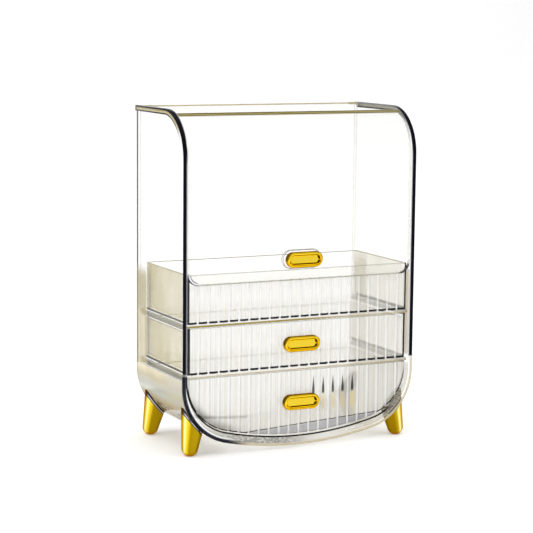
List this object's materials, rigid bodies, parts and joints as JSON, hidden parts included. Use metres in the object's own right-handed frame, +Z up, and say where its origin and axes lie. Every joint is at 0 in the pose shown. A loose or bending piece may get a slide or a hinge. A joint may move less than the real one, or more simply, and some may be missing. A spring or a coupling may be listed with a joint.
{
  "type": "makeup organizer",
  "caption": "Clear dustproof makeup organizer: rounded case on leaning feet, bent flip-up lid, lift-out tray, drawers with fluted fronts and gold pulls.",
  "frame": {"origin": "on the table, midway across the width and midway between the pulls' faces and the back", "axes": "+X to the right seen from the front, -Y to the front, +Z up"},
  "size_m": [0.25, 0.126, 0.329],
  "materials": {
    "clear_plastic": "clear, slightly champagne-tinted moulded plastic, polished",
    "gold": "gold-plated plastic, bright and smooth",
    "steel_screws": "plain bright steel"
  },
  "bodies": {
    "case": {"case_shell": "clear_plastic", "back_panel": "clear_plastic", "upper_shelf": "clear_plastic", "lower_shelf": "clear_plastic", "floor_runners": "clear_plastic", "front_left_foot": "gold", "front_right_foot": "gold", "rear_left_foot": "gold", "rear_right_foot": "gold", "foot_screws": "steel_screws"},
    "lid": {"lid_panel": "clear_plastic", "left_hinge_pin": "clear_plastic", "right_hinge_pin": "clear_plastic", "lid_pull": "gold", "lid_pull_screws": "steel_screws"},
    "tray": {"tray": "clear_plastic"},
    "middle_drawer": {"middle_drawer": "clear_plastic", "middle_pull": "gold", "middle_pull_screws": "steel_screws"},
    "bottom_drawer": {"bottom_drawer": "clear_plastic", "bottom_pull": "gold", "bottom_pull_screws": "steel_screws"}
  },
  "joints": [
    {"name": "lid_hinge", "type": "hinge", "parent": "case", "child": "lid", "pos_m": [0, 0.0576, 0.3271], "axis": [-1, 0, 0], "range_deg": [0, 125]},
    {"name": "tray_lift", "type": "slide", "parent": "case", "child": "tray", "axis": [0, 0, 1], "range_m": [0, 0.1]},
    {"name": "middle_slide", "type": "slide", "parent": "case", "child": "middle_drawer", "axis": [0, -1, 0], "range_m": [0, 0.085]},
    {"name": "bottom_slide", "type": "slide", "parent": "case", "child": "bottom_drawer", "axis": [0, -1, 0], "range_m": [0, 0.085]}
  ]
}
